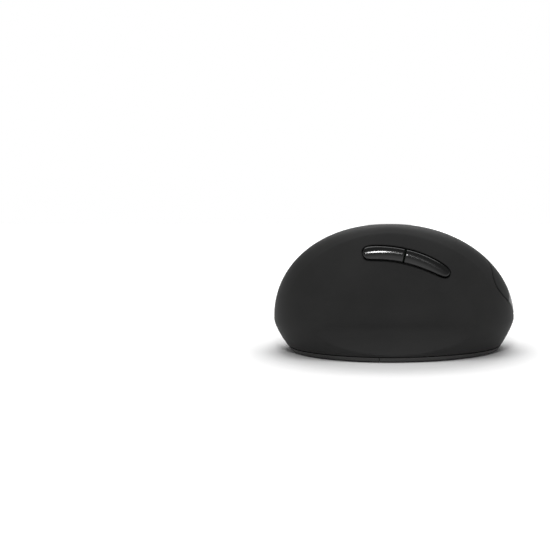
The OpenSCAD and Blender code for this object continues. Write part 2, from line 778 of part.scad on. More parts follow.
module key_board() {
    half = board_w / 2;
    color([0.1, 0.3, 0.18]) on_face() difference() {
        translate([0, 0, frame_n]) linear_extrude(board_t) difference() {
            union() {
                polygon([[board_rear_t, -half], [board_front_t - 4, -half], [board_front_t, -half + 4],
                    [board_front_t, half - 4], [board_front_t - 4, half], [board_rear_t, half]]);
                translate([trim_posts[0] - 2, -6.5]) square([trim_posts[1] - trim_posts[0] + 4, 13]);
            }
            translate([-13, -7]) square([27.2, 14]);
        }
        for (p = board_screws) translate([p[0], p[1], frame_n - 1]) cylinder(r = 0.8, h = 4);
    }
}

module key_switches() {
    color([0.1, 0.1, 0.1]) for (s = [-1, 1])
        on_face() translate([click_t, s * click_w, board_n]) difference() {
            translate([-micro[0] / 2, -micro[1] / 2, 0]) cube(micro);
            translate([-1.4 - stem_gap, -0.7 - stem_gap, micro[2] - 2])
                cube([2.8 + 2 * stem_gap, 1.4 + 2 * stem_gap, 3]);
        }
}

module plunger(side) {
    color([0.85, 0.85, 0.85]) on_face() translate([click_t - 1.4, side * click_w - 0.7, plunger_n - 2.2])
        cube([2.8, 1.4, 2.2]);
}

module index_plunger() {
    plunger(-1);
}

module middle_plunger() {
    plunger(1);
}

module key_board_screws() {
    color([0.7, 0.7, 0.7]) for (p = board_screws)
        on_face() translate([p[0], p[1], board_n]) rotate([180, 0, 0]) screw(0.8, 4.4, 1.6);
}

module key_frame_screws() {
    color([0.7, 0.7, 0.7]) for (y = frame_screw_y)
        upright() translate([frame_screw_t, y, base_top - 0.4]) screw(screw_r, 5, head_r);
}

// The base's outline between its bottom and the casing seam
module base_blank() {
    hull() {
        translate([0, 0, base_z]) linear_extrude(0.01) polygon(outline(base_z, 0));
        translate([0, 0, base_top - 0.01]) linear_extrude(0.01) polygon(outline(base_top, 0));
    }
}

// Room inside the casing near the seam, clear of the ledge under the thumb hollow
module inside_casing(z, h) {
    translate([0, 0, z]) linear_extrude(h) intersection() {
        polygon(outline(shell_z, wall_t + 0.5));
        polygon(outline(pad_top + 1, wall_t + 0.5));
    }
}

module foot_pocket(pad, gap) {
    translate([pad[0], pad[1], -1]) linear_extrude(base_z + 1.4) rounded(pad[2] + 2 * gap, pad[3] + 2 * gap, 2.4);
}

module base_plate() {
    bay_l = bay_y1 - bay_y0;
    front_x = door_x + case_gap / 2;
    color([0.15, 0.15, 0.15]) difference() {
        union() {
            intersection() {
                base_blank();
                translate([front_x, -far, 0]) cube([far, 2 * far, far]);
            }
            intersection() {
                inside_casing(deck_z, bay_top - deck_z);
                union() {
                    translate([-far, -far, deck_z]) cube([far + door_x + 1.6, 2 * far, deck_t]);
                    translate([bay_x0 - bay_wall, bay_y0 - bay_wall, deck_z])
                        cube([door_x + 1.6 - bay_x0 + bay_wall, bay_l + 2 * bay_wall, bay_top - deck_z]);
                }
            }
            intersection() {
                inside_casing(base_z + 0.4, 4);
                translate([front_x, -far, 0]) cube([1.6 - case_gap / 2, 2 * far, deck_top]);
            }
            intersection() {
                inside_casing(base_z, pad_top - base_z);
                for (p = case_posts)
                    translate([p[0], p[1], p[2] - 0.6]) cylinder(r = pad_r, h = pad_top - p[2] + 0.6);
            }
            for (p = main_posts) translate([p[0], p[1], base_top - 0.5]) cylinder(r = 2.4, h = main_z - base_top + 0.5);
        }
        translate([(bay_x0 + bay_x1) / 2, (bay_y0 + bay_y1) / 2, -1])
            linear_extrude(bay_z + 1) rounded(bay_x1 - bay_x0, bay_l, bay_corner);
        for (p = case_posts) {
            translate([p[0], p[1], -1]) cylinder(r = head_r + 0.3, h = p[2] + 1);
            translate([p[0], p[1], 0]) cylinder(r = screw_r + 0.2, h = pad_top + 1);
        }
        for (p = main_posts) translate([p[0], p[1], base_top]) cylinder(r = 0.9, h = main_z);
        for (y = frame_screw_y) upright() translate([frame_screw_t, y, -1]) {
            cylinder(r = head_r + 0.3, h = base_top + 0.6);
            cylinder(r = screw_r + 0.2, h = base_top + 3);
        }
        for (y = hooks_y) translate([hook_x - door_travel - 0.4, y - 2.2, deck_z - 1])
            cube([door_travel + hook_stem + 0.8, 4.4, deck_t + 2]);
        for (pad = foot_pads) foot_pocket(pad, 0.2);
        translate([sensor_x, sensor_y, 0]) linear_extrude(base_top + 1) stadium(9, 7);
        translate([slider_x, slider_y, 0]) linear_extrude(base_top + 1)
            square([slider_travel + slider_l + 0.5, slider_w + 0.4], center = true);
    }
}

module battery_door() {
    color([0.16, 0.16, 0.16]) difference() {
        union() {
            intersection() {
                base_blank();
                translate([door_x - case_gap / 2 - far, -far, 0]) cube([far, 2 * far, far]);
            }
            for (y = hooks_y) {
                translate([hook_x, y - 1.6, base_top - 0.4])
                    cube([hook_stem, 3.2, deck_top + 1.2 - base_top + 0.4]);
                translate([hook_x, y - 1.6, deck_top + 0.2]) cube([hook_l, 3.2, 1]);
            }
        }
        foot_pocket(rear_pad, 0.2);
        for (i = [0 : 2]) translate([-16 - 2.4 * i, 3, 0]) linear_extrude(base_z + 0.4) stadium(1.2, 16 - 3 * i);
    }
}

module foot(pad) {
    color([0.1, 0.1, 0.1]) translate([pad[0], pad[1], 0]) linear_extrude(base_z + 0.4) rounded(pad[2], pad[3], 2.2);
}

module door_foot() {
    foot(rear_pad);
}

module glide_feet() {
    for (pad = foot_pads) foot(pad);
}

module case_screws() {
    color([0.7, 0.7, 0.7]) for (p = case_posts) translate(p) screw(screw_r, pad_top + 7 - p[2], head_r);
}

module main_board() {
    color([0.1, 0.3, 0.18]) difference() {
        translate([main_x[0], main_y[0], main_z]) cube([main_x[1] - main_x[0], main_y[1] - main_y[0], board_t]);
        for (p = main_posts) translate([p[0], p[1], main_z - 1]) cylinder(r = 0.9, h = 4);
    }
}

module main_board_screws() {
    color([0.7, 0.7, 0.7]) for (p = main_posts)
        translate([p[0], p[1], main_top]) rotate([180, 0, 0]) screw(0.9, 4, 1.8);
}

// Controller, radio, crystal and the two ribbon sockets
socket_h = 2;
side_socket = [2, -13.6, 9, 2.6];
key_socket = [-2.6, 11.4, 7, 3];
module board_chips() {
    color([0.08, 0.08, 0.08]) translate([0, 0, main_top]) {
        translate([17.5, 6, 0]) cube([7, 7, 1.2]);
        translate([8, 9, 0]) cube([5, 5, 1]);
        translate([16, -11, 0]) cube([5, 2, 1.5]);
        for (s = [side_socket, key_socket]) translate([s[0], s[1], 0]) cube([s[2], s[3], socket_h]);
    }
}

module sensor_chip() {
    color([0.05, 0.05, 0.05]) translate([sensor_x - 6, sensor_y - 4.5, main_top]) cube([12, 9, 2.2]);
}

module sensor_lens() {
    color([0.85, 0.9, 0.95]) translate([sensor_x, sensor_y, 0]) {
        translate([-7, -6, base_top]) cube([14, 12, main_z - base_top]);
        translate([0, 0, base_z + 0.7]) linear_extrude(base_t) stadium(8.4, 6.4);
    }
}

module power_switch_body() {
    color([0.7, 0.7, 0.7]) translate([slider_x, slider_y, main_z - 2.6]) difference() {
        translate([-5, -2.4, 0]) cube([10, 4.8, 2.6]);
        translate([0, 0, -1]) linear_extrude(1.7)
            square([slider_travel + slider_l + 0.5, slider_w + 0.4], center = true);
    }
}

module power_slider() {
    color([0.3, 0.3, 0.3]) translate([slider_x - slider_travel / 2, slider_y, base_z + 0.4]) difference() {
        translate([-slider_l / 2, -slider_w / 2, 0]) cube([slider_l, slider_w, main_z - 2.1 - base_z - 0.4]);
        for (x = [-0.8, 0, 0.8]) translate([x - 0.2, -slider_w, -0.5]) cube([0.4, 2 * slider_w, 0.8]);
    }
}

// Two cells the opposite way round, each pressed by a spring
function cell_way(i) = i == 0 ? 1 : -1;
bay_mid = (bay_y0 + bay_y1) / 2;
module on_cell(i) {
    translate([cell_x[i], bay_mid, cell_z]) rotate([-90 * cell_way(i), 0, 0]) children();
}
bay_half = (bay_y1 - bay_y0) / 2 - contact_t;

module battery_cells() {
    nub = 1;
    color([0.75, 0.6, 0.3]) for (i = [0, 1]) on_cell(i) {
        translate([0, 0, bay_half - cell_l]) cylinder(r = cell_d / 2, h = cell_l - nub);
        translate([0, 0, bay_half - nub - 0.2]) cylinder(r = 2.5, h = nub + 0.2);
    }
}

// A cone spring of round wire, swept along its helix
wire_r = 0.3;
spring_turns = 3;
module cone_spring() {
    sides = 6;
    steps = 42;
    function place(k) =
        let (s = k / steps, a = 360 * spring_turns * s, r = 4 - 1.7 * s)
        [r * cos(a), r * sin(a), wire_r + (spring_l - 2 * wire_r) * s];
    points = [for (k = [0 : steps], i = [0 : sides - 1])
        let (
            p = place(k),
            d = place(k + 0.5) - place(k - 0.5),
            ahead = d / norm(d),
            out = [p[0], p[1], 0] / norm([p[0], p[1]]),
            up = cross(ahead, out),
            b = 360 * i / sides
        )
        p + wire_r * (cos(b) * out + sin(b) * up)];
    walls = [for (k = [0 : steps - 1], i = [0 : sides - 1])
        let (a = k * sides + i, b = k * sides + (i + 1) % sides)
        each [[a, b + sides, b], [a, a + sides, b + sides]]];
    caps = [[for (i = [0 : sides - 1]) i], [for (i = [sides - 1 : -1 : 0]) steps * sides + i]];
    polyhedron(points, concat(walls, caps));
}

module battery_springs() {
    color([0.8, 0.8, 0.8]) for (i = [0, 1]) on_cell(i) translate([0, 0, -bay_half]) cone_spring();
}

module battery_contacts() {
    color([0.8, 0.8, 0.78]) {
        for (i = [0, 1], end = [-bay_half - contact_t, bay_half])
            on_cell(i) translate([-contact_w / 2, -4.2, end]) cube([contact_w, 8.4, contact_t]);
    }
}

// Flat ribbons from the main board to the two raised boards, drawn as strips of one thickness
ribbon_t = 0.25;
function strip(path) =
    concat(path, [for (i = [len(path) - 1 : -1 : 0])
        let (
            d = path[min(i + 1, len(path) - 1)] - path[max(i - 1, 0)],
            n = [d[1], -d[0]] / norm(d)
        )
        path[i] + ribbon_t * n]);

module side_ribbon() {
    y = side_y + board_t;
    top = arc_z - 3;
    color([0.85, 0.85, 0.82]) translate([side_socket[0] + 1, 0, 0]) rotate([90, 0, 90]) linear_extrude(7)
        polygon(strip([[-12.4, main_top + socket_h], [-12.4, 22], [y, top - 9.7], [y, top]]));
}

module key_ribbon() {
    low = frame_n - ribbon_t;
    color([0.85, 0.85, 0.82]) upright() translate([-20.6, 0, 0]) rotate([90, 0, 90]) linear_extrude(6)
        polygon(strip([[-16.4, main_top + socket_h], [-16.4, 15],
            [upright_y(11, low), upright_z(11, low)], [upright_y(8, low), upright_z(8, low)]]));
}

base_plate();
main_shell();
palm_panel();
index_key();
middle_key();
wheel_trim();
wheel_tyre();
wheel_hub();
wheel_carrier();
wheel_encoder();
wheel_bracket();
wheel_switch();
wheel_switch_stem();
dpi_button();
dpi_switch();
dpi_switch_stem();
indicator_lens();
back_button();
forward_button();
side_board();
side_switches();
back_switch_stem();
forward_switch_stem();
side_board_screws();
key_frame();
key_board();
key_switches();
index_plunger();
middle_plunger();
key_board_screws();
key_frame_screws();
main_board();
board_chips();
sensor_chip();
sensor_lens();
power_switch_body();
power_slider();
main_board_screws();
battery_cells();
battery_springs();
battery_contacts();
battery_door();
door_foot();
glide_feet();
case_screws();
key_ribbon();
side_ribbon();
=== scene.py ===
import math

import bmesh
import bpy
import numpy as np
from mathutils import Matrix, Vector


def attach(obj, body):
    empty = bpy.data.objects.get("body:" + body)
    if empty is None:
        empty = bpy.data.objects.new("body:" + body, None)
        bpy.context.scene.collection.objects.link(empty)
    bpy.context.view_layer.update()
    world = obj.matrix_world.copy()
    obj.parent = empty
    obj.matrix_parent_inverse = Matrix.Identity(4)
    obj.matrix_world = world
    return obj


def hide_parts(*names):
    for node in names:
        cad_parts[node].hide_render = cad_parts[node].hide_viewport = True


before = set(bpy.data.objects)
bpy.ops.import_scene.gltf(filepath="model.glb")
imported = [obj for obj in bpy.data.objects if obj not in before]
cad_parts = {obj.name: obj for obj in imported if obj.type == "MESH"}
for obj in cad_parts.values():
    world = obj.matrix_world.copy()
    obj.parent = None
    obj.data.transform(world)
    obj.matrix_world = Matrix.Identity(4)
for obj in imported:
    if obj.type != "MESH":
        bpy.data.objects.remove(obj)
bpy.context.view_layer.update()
bpy.ops.object.select_all(action="DESELECT")
scene = bpy.context.scene
scene.view_settings.view_transform = "Standard"

# Camera: level with the desk's edge and a little above it, square to the thumb side.
# The mouse stands right of the middle, so the lens is shifted instead of turned.
camera_distance = 0.9
camera_rise = math.radians(9.5)
pixels_per_metre = 2200
picture_side = 550
origin_pixel = (394, 349.5)
lens = bpy.data.cameras.new("camera")
lens.sensor_fit = "HORIZONTAL"
lens.sensor_width = 36
lens.lens = pixels_per_metre * camera_distance / picture_side * lens.sensor_width
lens.shift_x = (picture_side / 2 - origin_pixel[0]) / picture_side
lens.shift_y = (origin_pixel[1] - picture_side / 2) / picture_side
camera = bpy.data.objects.new("camera", lens)
camera.location = (0, -camera_distance * math.cos(camera_rise), camera_distance * math.sin(camera_rise))
camera.rotation_euler = (math.pi / 2 - camera_rise, 0, 0)
scene.collection.objects.link(camera)
scene.camera = camera

# Desk: a seamless white sheet. It shows white to the camera and in reflections, and keeps the
# soft shadow: its glow starts outside the mouse's footprint and ramps up away from it, which paints
# a darker shade round the mouse on top of its cast shadow.
desk_side = 1.1
# Reach and levels of the painted shadow round the mouse: where the glow starts, and how it grows.
painted_shadow_reach = (0.508, 0.504)
painted_shadow_glow_steps = ((0.098, 0.0), (0.14, 0.26), (1.0, 0.6))


def seen_directly(nodes, links):
    """1 for rays from the camera, off a gloss or through a clear piece, and 0 for the light itself."""
    path = nodes.new("ShaderNodeLightPath")
    shown = nodes.new("ShaderNodeMath")
    shown.operation = "ADD"
    seen = nodes.new("ShaderNodeMath")
    seen.operation = "ADD"
    seen.use_clamp = True
    links.new(path.outputs["Is Camera Ray"], shown.inputs[0])
    links.new(path.outputs["Is Glossy Ray"], shown.inputs[1])
    links.new(shown.outputs[0], seen.inputs[0])
    links.new(path.outputs["Is Transmission Ray"], seen.inputs[1])
    return seen.outputs[0]


bpy.ops.mesh.primitive_plane_add(size=desk_side, location=(0, 0, 0))
desk = bpy.context.object
desk.name = "desk"
paper = bpy.data.materials.new("desk_paper")
paper.use_nodes = True
nodes, links = paper.node_tree.nodes, paper.node_tree.links
nodes.clear()
sheet = nodes.new("ShaderNodeBsdfDiffuse")
sheet.inputs["Color"].default_value = (0.86, 0.86, 0.86, 1)
place = nodes.new("ShaderNodeTexCoord")
footprint = nodes.new("ShaderNodeMapping")
footprint.inputs["Scale"].default_value = (1 / painted_shadow_reach[0], 1 / painted_shadow_reach[1], 0)
reach = nodes.new("ShaderNodeVectorMath")
reach.operation = "LENGTH"
# Painted shadow: the glow is nil close to the mouse and grows away from it, darkening the sheet there.
clear = nodes.new("ShaderNodeValToRGB")
clear.color_ramp.elements.new(0.5)
for stop, (far, level) in zip(clear.color_ramp.elements, painted_shadow_glow_steps):
    stop.position = far
    stop.color = (level, level, level, 1)
shown = nodes.new("ShaderNodeMath")
shown.operation = "MULTIPLY"
glow = nodes.new("ShaderNodeEmission")
total = nodes.new("ShaderNodeAddShader")
out = nodes.new("ShaderNodeOutputMaterial")
links.new(place.outputs["Object"], footprint.inputs["Vector"])
links.new(footprint.outputs["Vector"], reach.inputs[0])
links.new(reach.outputs["Value"], clear.inputs["Fac"])
links.new(seen_directly(nodes, links), shown.inputs[0])
links.new(clear.outputs["Color"], shown.inputs[1])
links.new(shown.outputs[0], glow.inputs["Strength"])
links.new(sheet.outputs[0], total.inputs[0])
links.new(glow.outputs[0], total.inputs[1])
links.new(total.outputs[0], out.inputs["Surface"])
desk.data.materials.append(paper)

# Studio: a white room that darkens towards its ceiling, a broad softbox overhead, one behind that
# throws the shadow forwards, and a small one in front that gives the gloss its highlight.
room = bpy.data.worlds.new("room")
scene.world = room
room.use_nodes = True
nodes, links = room.node_tree.nodes, room.node_tree.links
nodes.clear()
way = nodes.new("ShaderNodeTexCoord")
split = nodes.new("ShaderNodeSeparateXYZ")
walls = nodes.new("ShaderNodeBackground")
walls.inputs["Color"].default_value = (1, 1, 1, 1)
walls.inputs["Strength"].default_value = 0.22
ceiling = nodes.new("ShaderNodeMapRange")
ceiling.inputs["From Min"].default_value = 0.12
ceiling.inputs["From Max"].default_value = 0.5
ceiling.inputs["To Min"].default_value = 1
ceiling.inputs["To Max"].default_value = 0.22
backdrop = nodes.new("ShaderNodeBackground")
backdrop.inputs["Color"].default_value = (1, 1, 1, 1)
pick = nodes.new("ShaderNodeMixShader")
out = nodes.new("ShaderNodeOutputWorld")
links.new(way.outputs["Generated"], split.inputs[0])
links.new(split.outputs["Z"], ceiling.inputs["Value"])
links.new(ceiling.outputs["Result"], backdrop.inputs["Strength"])
links.new(seen_directly(nodes, links), pick.inputs[0])
links.new(walls.outputs[0], pick.inputs[1])
links.new(backdrop.outputs[0], pick.inputs[2])
links.new(pick.outputs[0], out.inputs["Surface"])


def softbox(name, size, watts, place, target):
    lamp = bpy.data.lights.new(name, "AREA")
    lamp.shape = "RECTANGLE"
    lamp.size, lamp.size_y = size
    lamp.energy = watts
    box = bpy.data.objects.new(name, lamp)
    box.location = place
    box.rotation_euler = (Vector(target) - Vector(place)).to_track_quat("-Z", "Y").to_euler()
    scene.collection.objects.link(box)


softbox("overhead", (0.8, 0.6), 3.6, (0, 0.12, 0.8), (0, 0, 0))
softbox("rear_box", (0.6, 0.3), 2.4, (0, 0.6, 0.55), (0, 0, 0))
softbox("front_box", (0.07, 0.09), 1.2, (-0.008, -0.6, 0.52), (-0.005, -0.02, 0.045))


# Main shell: the thumb side, ridge, nose and belt in one injection moulding with a soft-touch coat,
# open where the finger side's pieces sit and where the thumb buttons come through. Its foot meets
# the base in a fine seam. The palm panel and both keys carry on the same skin.
length, width, height, waist = 108.5, 72.0, 57.8, 15.0
seam_z = 2.5
wall, lip = 1.8, 0.28
lip_steps = (0, 0.06, 0.14, 0.28)
spine_x, spine_y = -2.0, -6.0
tuck_slope, tuck_curve = 0.33, 0.0135
nose_ease, tail_ease, side_ease = 1.5, 3, 5
tail_tuck, finger_tuck, thumb_tuck = 1.15, 0.25, 0.15
nose_n, tail_n, finger_n, thumb_n = 1.98, 2.1, 1.75, 4
slope_ease, slope_share, dome_share = 0.12, 0.7, 0.3
plan_nose_n, plan_tail_n, plan_thumb_n = 3.0, 2.5, 1.95
hollow_depth, hollow_half, hollow_z = 11.0, 37.0, 14.8
hollow_down, hollow_up = 11.6, 40.0
hollow_n, hollow_fade, hollow_fade_z = 1.15, 0.85, 15


def oval(s, n):
    return np.maximum(0, 1 - np.abs(s) ** n) ** (1 / n)


def turn_under(z, ease):
    """How far the body tucks in below its waist."""
    d = np.maximum(0, waist - z)
    return tuck_slope * (np.sqrt(d * d + ease * ease) - ease) + tuck_curve * d * d


thumb_reach = width / 2 + thumb_tuck * float(turn_under(np.array(seam_z), side_ease))


def slice_at(z):
    """Reach of the body at a level: nose, tail, finger side, thumb side, spine."""
    up = np.maximum(0, (z - waist) / (height - waist))
    ramp = (np.sqrt(up * up + slope_ease ** 2) - slope_ease) / (math.sqrt(1 + slope_ease ** 2) - slope_ease)
    lean = slope_share * (1 - ramp) + dome_share * oval(up, thumb_n)
    above = z >= waist
    nose = np.where(above, spine_x + (length / 2 - spine_x) * oval(up, nose_n),
                    length / 2 - turn_under(z, nose_ease))
    tail = np.where(above, spine_x - (length / 2 + spine_x) * oval(up, tail_n),
                    tail_tuck * turn_under(z, tail_ease) - length / 2)
    finger = np.where(above, spine_y + (width / 2 - spine_y) * oval(up, finger_n),
                      width / 2 - finger_tuck * turn_under(z, side_ease))
    thumb = np.where(above, spine_y - (thumb_reach + spine_y) * lean,
                     thumb_tuck * turn_under(z, side_ease) - thumb_reach)
    return nose, tail, finger, thumb, spine_y * up


def hollow(x, z):
    """Depth of the thumb side's hollow: a short lip below it and a long fade above."""
    reach = np.where(z < hollow_z, hollow_down, hollow_up)
    q = (x / hollow_half) ** 2 + ((z - hollow_z) / reach) ** 2
    fade = hollow_n + hollow_fade * np.clip((z - hollow_z) / hollow_fade_z, 0, 1)
    return hollow_depth * np.maximum(0, 1 - q) ** fade


def skin(bearing, z):
    """Point of the skin at a bearing about the spine, in millimetres."""
    nose, tail, finger, thumb, mid = slice_at(z)
    c, s = np.cos(bearing), np.sin(bearing)
    along = np.where(c > 0, nose - spine_x, spine_x - tail)
    across = np.where(s > 0, finger - mid, mid - thumb)
    n = np.where(s < 0, plan_thumb_n, np.where(c > 0, plan_nose_n, plan_tail_n))
    r = ((np.abs(c) / along) ** n + (np.abs(s) / across) ** n) ** (-1 / n)
    x = spine_x + r * c
    return np.stack([x, mid + r * s + np.where(s < 0, hollow(x, z), 0), z], -1)


def skin_normal(bearing, z):
    turn, rise = 0.004, 0.03
    below_crown, crown_share = 0.004, 0.4
    z = np.minimum(z, height - below_crown)
    round_ = skin(bearing + turn, z) - skin(bearing - turn, z)
    step = np.minimum(rise, (height - z) * crown_share)
    n = np.cross(round_, skin(bearing, z + step) - skin(bearing, z - step))
    return n / np.linalg.norm(n, axis=-1, keepdims=True)


columns, low_rows, dome_rows = 300, 26, 104
end_crowding, foot_crowding, dome_end = 1.55, 1.15, np.radians(89.6)
turns = np.linspace(0, 2 * math.pi, columns, endpoint=False)
bearings = np.arctan2(np.sin(turns), end_crowding * np.cos(turns))
low = np.linspace(0, 1, low_rows, endpoint=False) ** foot_crowding
dome = np.sin(dome_end * np.linspace(0, 1, dome_rows))
levels = np.concatenate([seam_z + (waist - seam_z) * low, waist + (height - waist) * dome])
grid_a, grid_z = np.meshgrid(bearings, levels)
body_points = np.vstack([skin(grid_a, grid_z).reshape(-1, 3), [[spine_x, spine_y, height]]])
body_normals = np.vstack([skin_normal(grid_a, grid_z).reshape(-1, 3), [[0, 0, 1]]])
i = np.arange(columns)
rows = np.arange(len(levels) - 1)[:, None] * columns
a, b = rows + i, rows + (i + 1) % columns
crown = (len(levels) - 1) * columns
top = np.full(columns, len(body_points) - 1)
body_tris = np.concatenate([np.stack([a, b, b + columns], -1).reshape(-1, 3),
                            np.stack([a, b + columns, a + columns], -1).reshape(-1, 3),
                            np.stack([crown + i, crown + (i + 1) % columns, top], -1)])


def along_skin(field, points, normals):
    """A field's value, and its slope along the skin."""
    h, end_on = 0.02, 0.8
    guide = np.where(np.abs(normals[:, :1]) < end_on, [[1.0, 0, 0]], [[0, 1.0, 0]])
    first = np.cross(normals, guide)
    first /= np.linalg.norm(first, axis=1, keepdims=True)
    second = np.cross(normals, first)
    slope = [(field(points + h * d) - field(points - h * d)) / (2 * h) for d in (first, second)]
    return field(points), slope[0][:, None] * first + slope[1][:, None] * second


# A soft crease is moulded along the thumb side, a little below the ridge.
crease_y, crease_lift, crease_round = -14.6, 0.36, 0.25
run_above, run_below = 2.4, 5.0
crease_from, crease_over, least_slope = 27, 12, 0.02
value, slope = along_skin(lambda p: p[:, 1] - crease_y, body_points, body_normals)
off_line = value / np.maximum(np.linalg.norm(slope, axis=1), least_slope)
fade = np.clip((body_points[:, 2] - crease_from) / crease_over, 0, 1) * (body_points[:, 1] < spine_y)
run = np.where(off_line > 0, run_above, run_below)
lift = crease_lift * fade * np.exp(-np.hypot(off_line, crease_round) / run)
body_points = body_points + lift[:, None] * body_normals
body_points = np.clip(body_points, (-length / 2, -width / 2, 0), (length / 2, width / 2, height))


def cut_along(value, points, normals, tris):
    """Splits the triangles that a line of zero value crosses. New points go to the end."""
    side = np.sign(value)[tris]
    mixed = (side.max(1) > 0) & (side.min(1) < 0)
    kept, cut, side = tris[~mixed], tris[mixed], side[mixed]
    lone = np.where((side == 0).any(1), np.argmax(side == 0, 1),
                    np.argmax(side == -np.sign(side.sum(1))[:, None], 1))
    turned = (lone[:, None] + np.arange(3)) % 3
    cut = np.take_along_axis(cut, turned, 1)
    through = np.take_along_axis(side, turned, 1)[:, 0] == 0
    q, c = cut[through], cut[~through]
    edges = np.sort(np.concatenate([q[:, [1, 2]], c[:, [0, 1]], c[:, [0, 2]]]), 1)
    unique, place = np.unique(edges, axis=0, return_inverse=True)
    place = place.reshape(-1) + len(points)
    one_end, other_end = unique[:, 0], unique[:, 1]
    share = (value[one_end] / (value[one_end] - value[other_end]))[:, None]
    points = np.vstack([points, points[one_end] * (1 - share) + points[other_end] * share])
    normals = np.vstack([normals, normals[one_end] * (1 - share) + normals[other_end] * share])
    p, one, two = np.split(place, [len(q), len(q) + len(c)])
    tris = np.vstack([kept, np.stack([q[:, 0], q[:, 1], p], 1), np.stack([q[:, 0], p, q[:, 2]], 1),
                      np.stack([c[:, 0], one, two], 1), np.stack([one, c[:, 1], c[:, 2]], 1),
                      np.stack([one, c[:, 2], two], 1)])
    return points, normals, tris


def merge_slivers(points, normals, tris, fixed):
    """Closes triangles that fold over or have almost no side, onto the points of the cut lines."""
    passes, least_facing, least_side = 6, 0.5, 0.01
    for _ in range(passes):
        corner = points[tris]
        facing = np.cross(corner[:, 1] - corner[:, 0], corner[:, 2] - corner[:, 0])
        outward = np.einsum("ij,ij->i", facing, normals[tris].sum(1))
        folded = outward < least_facing * np.linalg.norm(facing, axis=1)
        sides = np.linalg.norm(corner - np.roll(corner, -1, 1), axis=2)
        merged = np.arange(len(points))
        for k in np.where(folded | (sides.min(1) < least_side))[0]:
            i = int(np.argmin(sides[k]))
            a, b = sorted(merged[tris[k, [i, (i + 1) % 3]]], key=lambda v: (not fixed[v], v))
            merged[merged == b] = a
        tris = merged[tris]
        tris = tris[(tris[:, 0] != tris[:, 1]) & (tris[:, 1] != tris[:, 2]) & (tris[:, 2] != tris[:, 0])]
    return tris


def trim_to(field, steps, points, normals, tris):
    """Trims a skin to where a field is above zero, with a line of points at each step from its edge."""
    least_steep, snap, on_line = 0.5, 0.22, 4e-3
    fixed = np.zeros(len(points), bool)
    for step in steps:
        value, slope = along_skin(field, points, normals)
        value = value - step
        steep = np.maximum(np.linalg.norm(slope, axis=1), least_steep)
        near = (np.abs(value) / steep < snap) & ~fixed
        points = points.copy()
        points[near] -= (value / steep ** 2)[near, None] * slope[near]
        value[near] = 0
        value[fixed & (np.abs(value) < on_line)] = 0
        old = len(points)
        points, normals, tris = cut_along(value, points, normals, tris)
        fixed = np.concatenate([fixed | near, np.ones(len(points) - old, bool)])
        value = np.concatenate([value, np.zeros(len(points) - old)])
        if step == 0:
            tris = tris[(value[tris] >= 0).all(1) & (value[tris] > 0).any(1)]
        off, slope = along_skin(field, points[old:], normals[old:])
        steep = np.maximum(np.linalg.norm(slope, axis=1), least_steep)
        points[old:] -= ((off - step) / steep ** 2)[:, None] * slope
    tris = merge_slivers(points, normals, tris, fixed)
    value, slope = along_skin(field, points, normals)
    steep = np.maximum(np.linalg.norm(slope, axis=1), least_steep)
    used, tris = np.unique(tris, return_inverse=True)
    normals = normals[used] / np.linalg.norm(normals[used], axis=1, keepdims=True)
    return points[used], normals, tris.reshape(-1, 3), np.maximum(0, value[used] / steep[used])


def lip_drop(edge, radius):
    """How far a rounded lip falls away, at a distance from its edge."""
    return radius - np.sqrt(np.maximum(0, radius ** 2 - np.maximum(0, radius - edge) ** 2))


def moulding(name, outer, inner, tris):
    """A closed piece from an outer and an inner skin in millimetres, joined round their edges."""
    count = len(outer)
    edges = np.vstack([tris[:, [0, 1]], tris[:, [1, 2]], tris[:, [2, 0]]])
    key = edges[:, 0].astype(np.int64) * count + edges[:, 1]
    rim = edges[~np.isin(key, edges[:, 1].astype(np.int64) * count + edges[:, 0])]
    faces = tris.tolist() + (tris[:, ::-1] + count).tolist()
    faces += np.stack([rim[:, 1], rim[:, 0], rim[:, 0] + count, rim[:, 1] + count], 1).tolist()
    mesh = bpy.data.meshes.new(name)
    mesh.from_pydata((np.vstack([outer, inner]) / 1000).tolist(), [], faces)
    piece = bpy.data.objects.new(name, mesh)
    scene.collection.objects.link(piece)
    bpy.ops.object.select_all(action="DESELECT")
    piece.select_set(True)
    bpy.context.view_layer.objects.active = piece
    bpy.ops.object.shade_smooth_by_angle(angle=math.radians(50))
    return piece


# Seams of the finger side: above the belt, along the ridge, and bowed round the nose.
ridge_y = -2.5
belt_x, belt_z = (-90, -54.25, -10, 54.25, 90), (20, 20, 22, 16.5, 16.5)
bow_y, bow_z = 11, (16, 45)
bow_n, tilt_n, tilt_floor = 1.3, 0.3, 1e-6


def finger_side(p):
    """Distance inside the finger side's seams."""
    x, y, z = p.T
    belt = z - np.interp(x, belt_x, belt_z)
    turn = np.clip((z - bow_z[0]) / (bow_z[1] - bow_z[0]), 0, 1) * math.pi
    bow = np.where(x > 0, bow_y * np.sin(turn) ** bow_n, 0)
    tilt = np.where((x > 0) & (turn > 0) & (turn < math.pi),
                    bow_y * bow_n * np.maximum(np.sin(turn), tilt_floor) ** tilt_n
                    * np.cos(turn) * math.pi / (bow_z[1] - bow_z[0]), 0)
    return np.minimum(belt, (y - ridge_y + bow) / np.sqrt(1 + tilt ** 2))


# Opening for the thumb buttons: a slot along an arc, blunt at its ends and narrower to the front.
arc_x, arc_r, arc_z = -8.0, 59.5, 46.4
arc_from, arc_to, arc_split = -6.0, 33.3, 12.3
pair_w = 7.0
front_taper, taper_end = 0.24, 1.2
end_n, side_n = 11, 2.5
slot_side_y, slot_reach, far_off, slot_floor = -3, 3, 9, -2


def slot_value(p):
    """1 on the opening's rim, and less inside it."""
    dx, dz = p[:, 0] - arc_x, p[:, 2] - (arc_z - arc_r)
    u = (np.degrees(np.arctan2(dx, dz)) - (arc_from + arc_to) / 2) / ((arc_to - arc_from) / 2)
    half = pair_w / 2 * (1 - front_taper * np.maximum(0, np.minimum(u, taper_end)) ** 2)
    v = (np.hypot(dx, dz) - arc_r) / half
    return (np.abs(u) ** end_n + np.abs(v) ** side_n) ** (1 / side_n)


